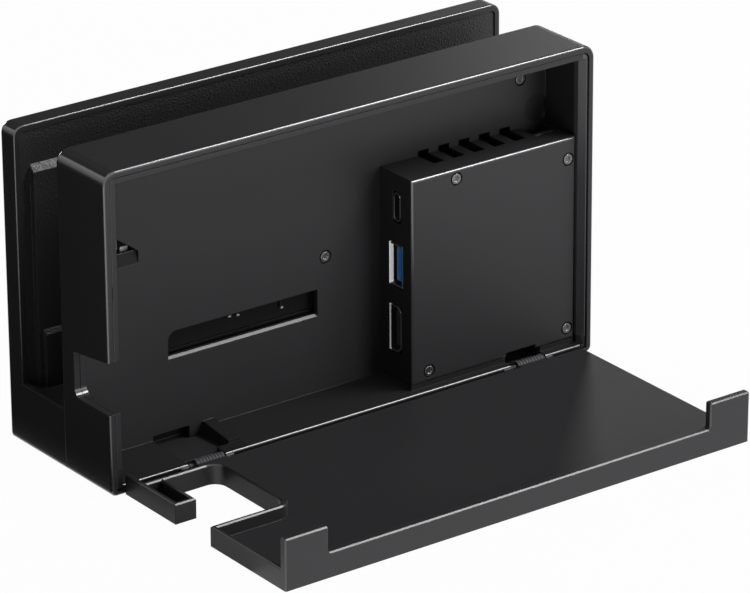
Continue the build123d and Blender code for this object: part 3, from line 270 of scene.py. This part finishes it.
class Surface:
    """The nodes of a material, or of the world, put together one at a time."""

    def __init__(self, owner):
        owner.use_nodes = True
        self.owner = owner
        self.tree = owner.node_tree
        self.tree.nodes.clear()

    def node(self, kind, settings=None, **sockets):
        """Adds a node, applies its settings, then fills or links its sockets by name, or by place as in i0."""
        made = self.tree.nodes.new(kind)
        for key, item in (settings or {}).items():
            setattr(made, key, item)
        for key, item in sockets.items():
            socket = made.inputs[int(key[1:])] if key[1:].isdigit() else made.inputs[key.replace("_", " ")]
            if isinstance(item, Value):
                item = item.socket
            if isinstance(item, bpy.types.NodeSocket):
                self.tree.links.new(item, socket)
            else:
                socket.default_value = item
        return made

    def value(self, node, output=0):
        return Value(self.tree, node.outputs[output])

    def parts(self, vector):
        """The three numbers of a vector, as values."""
        split = self.node("ShaderNodeSeparateXYZ", Vector=vector)
        return [self.value(split, axis) for axis in range(3)]

    def place(self):
        return self.node("ShaderNodeTexCoord").outputs["Object"]

    def inside(self, x=OPEN, y=OPEN, z=OPEN):
        """One inside a box of the part and zero outside it, from its spans in millimetres."""
        tests = []
        for place, (low, high) in zip(self.parts(self.place()), (x, y, z)):
            if low is not None:
                tests.append(place > low * MM)
            if high is not None:
                tests.append(place < high * MM)
        return math.prod(tests)

    def edges(self, radius):
        """A softened normal, and a value that rises to one along sharp edges."""
        soft = self.node("ShaderNodeBevel", {"samples": 6}, Radius=radius)
        flat = self.node("ShaderNodeNewGeometry")
        turn = self.node("ShaderNodeVectorMath", {"operation": "DOT_PRODUCT"}, i0=soft.outputs[0],
                         i1=flat.outputs["Normal"])
        return soft.outputs[0], ((1.0 - self.value(turn, "Value")) * EDGE_GAIN) & 1.0

    def slant(self):
        """A value that is zero on upright and level faces and one on bevels and rounded edges."""
        normal = self.node("ShaderNodeTexCoord").outputs["Normal"]
        x, y, z = [abs(part) for part in self.parts(normal)]
        return ((1.0 - (x | y | z)) * EDGE_GAIN) & 1.0

    def noise(self, size, detail=2.0, roughness=0.5, vector=None):
        """Soft noise whose features are about as wide as size, in metres."""
        return self.value(self.node("ShaderNodeTexNoise", Vector=vector or self.place(), Scale=1.0 / size,
                                    Detail=detail, Roughness=roughness))

    def about(self, middle, *swings):
        """A value that swings about a middle with one or more noises."""
        total = middle
        for noise, swing in swings:
            total = (noise - 0.5) * swing + total
        return total

    def blend(self, factor, first, second):
        """Mixes two colours."""
        mixed = self.node("ShaderNodeMix", {"data_type": "RGBA"}, i0=factor, i6=first, i7=second)
        return mixed.outputs[2]

    def seen(self):
        """One for the rays that show the white background, and zero for those that light the dock."""
        path = self.node("ShaderNodeLightPath")
        return (self.value(path, "Is Camera Ray") | self.value(path, "Is Transmission Ray")
                | self.value(path, "Is Glossy Ray"))

    def finish(self, shader, output="ShaderNodeOutputMaterial"):
        self.node(output, Surface=shader.outputs[0])
        return self.owner


def new_look(name):
    return Surface(bpy.data.materials.new(name))


def shade(colour, factor=1.0):
    """A colour for a socket, made darker or paler by a factor."""
    return (*[part * factor for part in colour], 1.0)


def housing_painted_shade(look):
    """Painted shade on the front wall inside the housing, which no light reaches."""
    return look.inside(x=(-85.2, 85.2), y=(3.5, None), z=(2.5, 97.2))


def tray_painted_shade(look):
    """Painted shade on the tray's floor and the catch's ramp, and darker still in the pocket of the left hinge with
    its lug.
    """
    floor = look.inside(y=(8.6, None), z=(None, 8.4))
    pocket = look.inside(x=(39.0, 61.2), y=(8.6, None), z=(None, 16.0))
    ramp = look.inside(x=(63.8, None), y=(None, 8.25), z=(61.5, 65.2))
    return (floor | ramp) * 0.6 | pocket * 0.8


def tray_dull(look):
    """The catch's ramp and the window's sill, which shine less than the other edges."""
    ramp = look.inside(x=(63.8, None), z=(61.0, 65.2))
    sill = look.inside(x=(1.0, 55.5), z=(28.5, 29.7))
    return ramp | sill * 0.8


def tray_lip_painted_light(look):
    """Painted light on the tray's lip at the right, beside the socket block."""
    return look.inside(x=(None, -83.8), y=(22.2, None), z=(6.0, None))


def knuckle_rings(look):
    """Where the door's hinge knuckles are, which are painted paler as painted light, and the fine rings round them.
    """
    x, _, _ = look.parts(look.place())
    return look.inside(y=(None, 26.7)), (x * (2 * math.pi / RING_PITCH)).wave()


def shield_painted_glints(look):
    """The cut ends of the inner shield's tabs and the tab behind the catch, painted bright as painted glints."""
    ends = look.inside(y=(5.43, None))
    catch_tab = look.inside(x=(69.5, 72.8), z=(65.0, 75.2))
    return ends | catch_tab


def wide_mouth_painted_glint(look):
    """The first millimetre of the data socket's far wall, which catches the light, and faintly its rim: a painted
    glint in the bright plate colour.
    """
    wall = look.inside(x=(MOUTH_X - 1.3, None), y=(None, FAR_WALL_Y + 0.7))
    painted_rim_glint = look.inside(x=(MOUTH_X - 0.4, None))
    return wall | painted_rim_glint * 0.1


def slim_mouth_painted_glint(look):
    """The far rim of the video socket, and faintly the other rims: a painted glint in the bright plate colour."""
    painted_rim_glint = look.inside(x=(MOUTH_X - 0.3, None))
    far_side = look.inside(y=(None, FAR_WALL_Y + 1.0))
    return painted_rim_glint * (far_side * 0.65 | 0.06)


def moulded(name, colour, finish, roughness, specular=0.2, grain_depth=0.04 * MM, grain_scale=1.0, gloss=1.0,
            dark=None, dull=None, pale=None, ringed=None):
    """Matte moulded plastic with polished edges and a painted sheen on its bevels, and if asked with painted shade,
    dull places, painted light, or rings that are painted paler as painted light.
    """
    look = new_look(name)
    fine = look.noise(finish.grain * grain_scale, detail=3.0, roughness=0.6)
    broad = look.noise(45.0 * MM)
    tint = look.blend(broad, shade(colour), shade(finish.body_worn_and_sheen))
    rough = look.about(roughness, (fine, 0.08), (broad, 0.07))
    # Painted shade: the places that dark marks are painted darker
    if dark:
        painted_shade_depth = dark(look)
        tint = look.blend(painted_shade_depth, tint, shade(colour, DEEP_PAINTED_SHADE))
        rough = rough + painted_shade_depth * DEEP_ROUGHNESS
    soft, edge = look.edges(finish.edge)
    slant = look.slant() * gloss
    if dull:
        slant = slant * (1.0 - dull(look))
    rough = rough - (edge | slant) * finish.edge_polish
    # Painted sheen: bevels and rounded edges are painted paler, as a highlight
    painted_sheen = shade(finish.body_worn_and_sheen, PAINTED_SHEEN_SHADE)
    tint = look.blend(slant * PAINTED_SHEEN_SHARE, tint, painted_sheen)
    # Painted light: the places that pale marks are painted paler
    if pale:
        tint = look.blend(pale(look), tint, painted_sheen)
    height = fine
    # Painted light: the knuckles are painted paler, most on their rings; the rings are also a real bump
    if ringed:
        place, rings = ringed(look)
        tint = look.blend(place * (rings * 0.5 + 0.5), tint, shade(colour, RING_PAINTED_LIGHT))
        slant = slant * (1.0 - place)
        height = fine + rings * place * RING_HEIGHT
    bump = look.node("ShaderNodeBump", Strength=0.35, Distance=grain_depth, Height=height, Normal=soft)
    return look.finish(look.node(
        "ShaderNodeBsdfPrincipled", Base_Color=tint, Roughness=rough, Specular_IOR_Level=specular,
        Coat_Weight=slant, Coat_Roughness=0.15, Coat_IOR=1.75, Normal=bump.outputs[0]))


def leather_grained(name, colour, finish, roughness, specular):
    """Black plastic with a leather-like pebble grain."""
    look = new_look(name)
    wobble = look.noise(4.0 * MM)
    fine = look.noise(finish.grain, detail=3.0, roughness=0.6)
    pebbles = look.value(look.node("ShaderNodeTexVoronoi", {"feature": "DISTANCE_TO_EDGE"}, Vector=look.place(),
                                   Scale=1.0 / finish.pebble))
    tint = look.blend(wobble, shade(colour), shade(finish.body_worn_and_sheen))
    soft, edge = look.edges(finish.edge)
    slant = look.slant()
    rough = look.about(roughness, (fine, 0.1), (wobble, 0.06)) - (edge | slant) * finish.edge_polish
    bump = look.node("ShaderNodeBump", Strength=0.8, Distance=0.25 * MM,
                     Height=pebbles * PEBBLE_RISE + fine * PEBBLE_GRAIN, Normal=soft)
    return look.finish(look.node(
        "ShaderNodeBsdfPrincipled", Base_Color=tint, Roughness=rough, Specular_IOR_Level=specular,
        Coat_Weight=slant * 0.2, Coat_Roughness=0.2, Normal=bump.outputs[0]))


def metal(name, colour, finish, roughness, brushed=1.0, solid=1.0, painted_glint=None):
    """Plated or pressed metal with faint streaks and smudges, and with painted glints in the bright plate colour if
    asked.
    """
    look = new_look(name)
    stretch = look.node("ShaderNodeMapping", Vector=look.place(), Scale=(1.0, 1.0, 0.12))
    streak = look.noise(0.45 * MM, vector=stretch.outputs[0])
    smudge = look.noise(6.0 * MM, detail=3.0, roughness=0.55)
    tint = look.blend(smudge, shade(colour, 0.86), shade(colour))
    # Painted glint: the asked places take the bright plate colour and turn less metallic
    if painted_glint:
        place = painted_glint(look)
        tint = look.blend(place, tint, shade(finish.plated))
        solid = solid - place * GLINT_FALL
    soft = look.node("ShaderNodeBevel", {"samples": 4}, Radius=finish.edge * 0.5)
    bump = look.node("ShaderNodeBump", Strength=0.15 * brushed, Distance=0.03 * MM, Height=streak,
                     Normal=soft.outputs[0])
    rough = look.about(roughness, (streak, 0.12), (smudge, 0.1))
    return look.finish(look.node("ShaderNodeBsdfPrincipled", Base_Color=tint, Metallic=solid, Roughness=rough,
                                 Normal=bump.outputs[0]))


def screw_steel(name, colour, finish):
    """Blackened steel with a painted highlight along its rims."""
    look = new_look(name)
    soft, painted_rim_glint = look.edges(finish.edge * 0.6)
    speck = look.noise(0.5 * MM)
    # Painted highlight: the rims are painted four times paler than the darkened faces
    tint = look.blend(painted_rim_glint, shade(colour, 0.8), shade(colour, 4.0))
    return look.finish(look.node("ShaderNodeBsdfPrincipled", Base_Color=tint, Metallic=1.0,
                                 Roughness=look.about(0.35, (speck, 0.1)), Normal=soft))


def glossy_moulded(name, colour, finish, roughness, specular=0.5):
    """Smooth coloured plastic with slight unevenness."""
    look = new_look(name)
    broad = look.noise(4.0 * MM)
    tint = look.blend(broad, shade(colour, 0.88), shade(colour))
    soft = look.node("ShaderNodeBevel", {"samples": 4}, Radius=finish.edge * 0.5)
    return look.finish(look.node(
        "ShaderNodeBsdfPrincipled", Base_Color=tint, Roughness=look.about(roughness, (broad, 0.1)),
        Specular_IOR_Level=specular, Normal=soft.outputs[0]))


def circuit_board(name, finish):
    """Coated board with paler tracks and small pads."""
    look = new_look(name)
    tracks = look.node("ShaderNodeTexBrick", Vector=look.place(), Scale=260.0, Mortar_Size=0.03,
                       Color1=(0, 0, 0, 1), Color2=(0.15, 0.15, 0.15, 1), Mortar=WHITE)
    speck = look.noise(0.9 * MM)
    tint = look.blend(look.value(tracks) * 0.5 + speck * 0.2, shade(finish.board), shade(finish.track))
    return look.finish(look.node("ShaderNodeBsdfPrincipled", Base_Color=tint,
                                 Roughness=look.about(0.425, (speck, 0.15)), Specular_IOR_Level=0.4))


def give(material, slot_name, *names):
    """Puts a material on CAD nodes; the slot name is not used."""
    for name in names:
        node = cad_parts[name]
        node.data.materials.clear()
        node.data.materials.append(material)


def add_object(name, mesh, material):
    """Turns a bmesh into an object of the scene."""
    data = bpy.data.meshes.new(name)
    mesh.to_mesh(data)
    mesh.free()
    data.materials.append(material)
    made = bpy.data.objects.new(name, data)
    bpy.context.scene.collection.objects.link(made)
    return made


def new_piece(name, mesh, material, body="root"):
    """Turns a bmesh into a piece that rides on a body."""
    bmesh.ops.recalc_face_normals(mesh, faces=mesh.faces)
    piece = add_object(name, mesh, material)
    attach(piece, body)


def add_bar(mesh, low, high, round_off=0.0):
    """Adds a straight bar between two corners to a bmesh, with softened edges if asked."""
    low, high = Vector(low), Vector(high)
    place = Matrix.Translation((low + high) / 2) @ Matrix.Diagonal((high - low).to_4d())
    made = bmesh.ops.create_cube(mesh, size=1.0, matrix=place)
    if round_off:
        edges = {edge for vert in made["verts"] for edge in vert.link_edges}
        bmesh.ops.bevel(mesh, geom=list(edges), offset=round_off, segments=2, profile=0.5,
                        affect="EDGES", material=-1)


class DOCK_OT_shells(bpy.types.Operator):
    """Gives the shells, tray, cover and door their moulded black."""

    bl_idname = "dock.shells"
    bl_label = "Finish Shells"

    def execute(self, context):
        finish = context.scene.dock_finish
        outer = moulded("moulded_black", finish.body, finish, roughness=0.43)
        give(outer, "black_plastic", "front_shell", "base_plate")
        # Painted shade: the inside of the front wall is darkened
        housing = moulded("moulded_black_housing", finish.body, finish, roughness=0.43, dark=housing_painted_shade)
        give(housing, "black_plastic", "rear_housing")
        inner = moulded("moulded_black_inner", finish.body, finish, roughness=0.46)
        give(inner, "black_plastic", "port_cover", "plug_carrier")
        # Painted shade on the floor, the catch's ramp and the hinge pocket
        tray = moulded("moulded_black_tray", finish.body, finish, roughness=0.46, dark=tray_painted_shade, dull=tray_dull,
                       # Painted light: the right lip is painted paler
                       pale=tray_lip_painted_light)
        give(tray, "black_plastic", "rear_tray")
        # Painted light on the hinge knuckles
        door = moulded("moulded_black_door", finish.body, finish, roughness=0.45, specular=0.19, gloss=0.4,
                       ringed=knuckle_rings)
        give(door, "black_plastic", "rear_door")
        return {"FINISHED"}


class DOCK_OT_slot(bpy.types.Operator):
    """Gives the liner and floor of the console slot their leather-like grain."""

    bl_idname = "dock.slot"
    bl_label = "Finish Slot"

    def execute(self, context):
        finish = context.scene.dock_finish
        grained = leather_grained("grained_black", finish.liner, finish, roughness=0.5, specular=0.25)
        give(grained, "grained_plastic", "front_liner", "slot_floor")
        return {"FINISHED"}


class DOCK_OT_metal(bpy.types.Operator):
    """Gives the sockets, plug, shield, brackets and springs their metal."""

    bl_idname = "dock.metal"
    bl_label = "Finish Metal"

    def execute(self, context):
        finish = context.scene.dock_finish
        plated = metal("satin_plate", finish.plated, finish, roughness=0.3)
        give(plated, "plated_metal", "side_usb_sockets", "console_plug")
        # Painted shade inside the socket mouths, with painted glints on their far walls and rims
        wide = metal("wide_mouth_painted_glint", finish.mouth_painted_shade, finish, roughness=0.35, painted_glint=wide_mouth_painted_glint)
        give(wide, "plated_metal", "usb_socket")
        slim = metal("slim_mouth_painted_glint", finish.mouth_painted_shade, finish, roughness=0.35, painted_glint=slim_mouth_painted_glint)
        give(slim, "plated_metal", "video_socket", "power_socket")
        # Painted shade: near-black sheet, with painted glints on its tab ends
        shield = metal("shield_sheet", finish.shield, finish, roughness=0.4, painted_glint=shield_painted_glints)
        give(shield, "sheet_metal", "inner_shield")
        sheet = metal("pressed_sheet", finish.plated, finish, roughness=0.4)
        give(sheet, "sheet_metal", "plug_brackets", "centring_springs")
        return {"FINISHED"}


class DOCK_OT_clip(bpy.types.Operator):
    """Sets the metal clip on the wall behind the catch opening."""

    bl_idname = "dock.clip"
    bl_label = "Add Catch Clip"

    def execute(self, context):
        finish, sizes = context.scene.dock_finish, context.scene.dock_pieces
        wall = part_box("inner_shield")[0].y
        middle = Vector((CLIP_X, wall, CLIP_Z))
        reach = Vector((sizes.clip_width, 0, sizes.clip_height)) / 2
        mesh = bmesh.new()
        add_bar(mesh, middle - reach, middle + reach + Vector((0, sizes.clip_depth, 0)), sizes.clip_edge)
        sheet = metal("clip_sheet", finish.plated, finish, roughness=0.4, solid=0.25)
        new_piece("catch_clip", mesh, sheet)
        return {"FINISHED"}


class DOCK_OT_tongues(bpy.types.Operator):
    """Gives the socket tongues their blue and black plastic."""

    bl_idname = "dock.tongues"
    bl_label = "Finish Tongues"

    def execute(self, context):
        finish = context.scene.dock_finish
        blue = glossy_moulded("blue_tongue", finish.tongue, finish, roughness=0.35)
        give(blue, "blue_plastic", "usb_tongue")
        dark = glossy_moulded("dark_tongue", finish.rubber, finish, roughness=0.4, specular=0.4)
        give(dark, "socket_plastic", "video_tongue", "power_tongue", "side_usb_tongues")
        return {"FINISHED"}


class DOCK_OT_contacts(bpy.types.Operator):
    """Lays the contact strips along the socket tongues."""

    bl_idname = "dock.contacts"
    bl_label = "Add Contacts"

    def execute(self, context):
        finish, sizes = context.scene.dock_finish, context.scene.dock_pieces
        mesh = bmesh.new()
        for node, (count, width) in STRIPS.items():
            low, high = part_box(node)
            pitch = (high.z - low.z) / count
            for place in range(count):
                middle = low.z + (place + 0.5) * pitch
                add_bar(mesh, (low.x + STRIP_ROOT, low.y - sizes.strip_height, middle - width / 2),
                        (high.x - STRIP_TIP, low.y, middle + width / 2))
        gilt = metal("contact_gilt", finish.contact, finish, roughness=0.3, brushed=0.5)
        new_piece("socket_contacts", mesh, gilt)
        return {"FINISHED"}


class DOCK_OT_inside(bpy.types.Operator):
    """Finishes the boards, the flat cable and the status light."""

    bl_idname = "dock.inside"
    bl_label = "Finish Inside"

    def execute(self, context):
        finish = context.scene.dock_finish
        give(circuit_board("coated_board", finish), "board", "main_board", "plug_board", "light_board")
        film = glossy_moulded("cable_film", finish.film, finish, roughness=0.35)
        give(film, "cable_film", "ribbon_cable")
        frosted = glossy_moulded("frosted_light", finish.light, finish, roughness=0.3)
        give(frosted, "clear_plastic", "light_pipe")
        return {"FINISHED"}


class DOCK_OT_fasteners(bpy.types.Operator):
    """Finishes the screws and the rubber feet."""

    bl_idname = "dock.fasteners"
    bl_label = "Finish Screws and Feet"

    def execute(self, context):
        finish = context.scene.dock_finish
        steel = screw_steel("blackened_steel", finish.screw, finish)
        give(steel, "dark_steel", "port_cover_screws", "tray_screws", "board_screws", "base_screws")
        feet = moulded("foot_rubber", finish.rubber, finish, roughness=0.75, grain_depth=0.06 * MM, grain_scale=2.0)
        give(feet, "rubber", "rubber_feet")
        return {"FINISHED"}


def facing(place, aim, along=UPRIGHT):
    """The place and turn of what looks from one point at another, with its second side along a direction."""
    back = (Vector(place) - Vector(aim)).normalized()
    side = Vector(along).cross(back).normalized()
    return Matrix.Translation(place) @ Matrix((side, back.cross(side), back)).transposed().to_4x4()


def add_lamp(name, place, aim, width, power, height=None, along=UPRIGHT):
    """Adds a soft rectangular lamp, in metres and watts, that looks at a point."""
    lamp = bpy.data.lights.new(name, "AREA")
    lamp.shape = "RECTANGLE"
    lamp.size = width
    lamp.size_y = height or width
    lamp.energy = power
    holder = bpy.data.objects.new(name, lamp)
    holder.matrix_world = facing(place, aim, along)
    holder.visible_camera = False
    bpy.context.scene.collection.objects.link(holder)
    return holder


def light_only(lamp, *names):
    """Lets a lamp shine on a few CAD nodes only."""
    group = bpy.data.collections.new(lamp.name + "_nodes")
    for name in names:
        group.objects.link(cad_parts[name])
    lamp.light_linking.receiver_collection = group


def add_sheet(name, material, place, reach_x, reach_y):
    """Adds a flat sheet of the stage that reaches to both sides of a place."""
    mesh = bmesh.new()
    bmesh.ops.create_grid(mesh, x_segments=1, y_segments=1, size=1.0,
                          matrix=place @ Matrix.Diagonal((reach_x, reach_y, 1, 1)))
    return add_object(name, mesh, material)


def add_flag(name, place, aim, width, height):
    """Adds a black cloth that only reflections see, as a photographer hangs one beside a black object."""
    look = new_look(name + "_cloth")
    cloth = look.finish(look.node("ShaderNodeBsdfDiffuse", Color=FLAG_BLACK))
    flag = add_sheet(name, cloth, facing(place, aim), width / 2, height / 2)
    for ray in ("camera", "diffuse", "transmission", "shadow"):
        setattr(flag, "visible_" + ray, False)


class DOCK_OT_stage(bpy.types.Operator):
    """Adds the floor, the even light, the lamps, the flags and the camera."""

    bl_idname = "dock.stage"
    bl_label = "Set Stage"

    def execute(self, context):
        stage = context.scene.dock_stage
        self.add_floor(stage)
        self.add_world(context.scene, stage)
        self.add_lamps()
        self.add_flags()
        self.add_camera(context.scene, stage)
        return {"FINISHED"}

    def add_floor(self, stage):
        look = new_look("pale_floor")
        speck = look.noise(20.0 * MM)
        tint = look.blend(speck, shade(stage.floor, 0.98), shade(stage.floor))
        matte = look.node("ShaderNodeBsdfDiffuse", Color=tint)
        white = look.node("ShaderNodeEmission", Color=WHITE, Strength=1.05)
        mixed = look.node("ShaderNodeMixShader", i0=look.seen() * stage.floor_glow, i1=matte.outputs[0],
                          i2=white.outputs[0])
        place = Matrix.Translation((0, 0, -stage.floor_drop))
        floor = add_sheet("studio_floor", look.finish(mixed), place, stage.floor_reach, stage.floor_reach)

    def add_world(self, scene, stage):
        air = Surface(bpy.data.worlds.new("studio_air"))
        strength = air.seen() * (1.0 - stage.ambient) + stage.ambient
        sky = air.node("ShaderNodeBackground", Color=WHITE, Strength=strength)
        scene.world = air.finish(sky, "ShaderNodeOutputWorld")

    def add_lamps(self):
        # Low in front, on the panel, the socket block and the door's far edge
        add_lamp("key_softbox", place=(-0.45, 1.05, 0.2), aim=(0, 0.03, 0.05), width=0.45, power=2.8)
        # Bright table in front, which the upright faces reflect
        add_lamp("table_card", place=(-0.2, 0.54, 0.1 * MM), aim=(-0.2, 0.54, 1.0), width=1.3, height=0.9, power=2.7)
        # Glow on the right end of the top and of the door
        add_lamp("back_lamp", place=(-0.62, -0.59, 0.3), aim=(-0.08, 0.02, 0.08), width=0.15, power=0.34)
        # Bright lines along the upper edges
        add_lamp("edge_strip", place=(-0.59, 0.39, 0.88), aim=(0, 0.02, 0.1), width=0.26, height=0.5, power=5.6,
                 along=(0, -0.888, 0.46))
        # Light into the sockets alone
        glint, mouths = (0.75, 0.55, 0.35), (-0.02, 0.016, 0.045)
        light_only(add_lamp("tongue_glint", place=glint, aim=mouths, width=0.2, power=2.2), *TONGUES)
        light_only(add_lamp("socket_glint", place=glint, aim=mouths, width=0.2, power=13.0), *SOCKETS)
        # Front plate, on the side away from the camera
        add_lamp("plate_softbox", place=(0, -1.2, 0.25), aim=(0, -0.02, 0.05), width=0.17, power=4.0)

    def add_flags(self):
        # Behind the dock, for the top faces, and on the floor beside it, for the left side
        add_flag("back_flag", place=(-0.71, -0.97, 0.55), aim=(0, 0, 0.06), width=4.0, height=2.6)
        add_flag("side_flag", place=(1.59, -1.457, 0.4 * MM), aim=(1.59, -1.457, 1.0), width=3.0, height=3.0)

    def add_camera(self, scene, stage):
        level = math.cos(stage.elevation)
        back = Vector((math.sin(stage.azimuth) * level, -math.cos(stage.azimuth) * level,
                       math.sin(stage.elevation)))
        right = Vector((0, 0, 1)).cross(back).normalized()
        up = back.cross(right)
        cos_roll, sin_roll = math.cos(stage.roll), math.sin(stage.roll)
        side = right * cos_roll + up * sin_roll
        rise = up * cos_roll - right * sin_roll
        data = bpy.data.cameras.new("photo_camera")
        data.sensor_fit = "HORIZONTAL"
        data.sensor_width = 36.0
        data.lens = stage.lens
        data.clip_end = 50.0
        camera = bpy.data.objects.new("photo_camera", data)
        eye = Vector((0, 0, stage.middle)) + side * stage.pan_right + rise * stage.pan_up + back * stage.distance
        camera.matrix_world = Matrix.Translation(eye) @ Matrix((side, rise, back)).transposed().to_4x4()
        scene.collection.objects.link(camera)
        scene.camera = camera
        scene.view_settings.view_transform = "Standard"


STEPS = (DOCK_OT_shells, DOCK_OT_slot, DOCK_OT_metal, DOCK_OT_clip, DOCK_OT_tongues, DOCK_OT_contacts,
         DOCK_OT_inside, DOCK_OT_fasteners, DOCK_OT_stage)


class DOCK_PT_panel(bpy.types.Panel):
    """Lists the dock's steps in the sidebar."""

    bl_idname = "DOCK_PT_panel"
    bl_label = "Console Dock"
    bl_space_type = "VIEW_3D"
    bl_region_type = "UI"
    bl_category = "Dock"

    def draw(self, context):
        for step in STEPS:
            self.layout.operator(step.bl_idname)


CLASSES = (DockFinish, DockPieces, DockStage, *STEPS, DOCK_PT_panel)


def register():
    for item in CLASSES:
        bpy.utils.register_class(item)
    bpy.types.Scene.dock_finish = bpy.props.PointerProperty(type=DockFinish)
    bpy.types.Scene.dock_pieces = bpy.props.PointerProperty(type=DockPieces)
    bpy.types.Scene.dock_stage = bpy.props.PointerProperty(type=DockStage)


def unregister():
    del bpy.types.Scene.dock_stage
    del bpy.types.Scene.dock_pieces
    del bpy.types.Scene.dock_finish
    for item in reversed(CLASSES):
        bpy.utils.unregister_class(item)


def main():
    register()
    for step in STEPS:
        group, name = step.bl_idname.split(".")
        getattr(getattr(bpy.ops, group), name)()


if __name__ == "__main__":
    main()
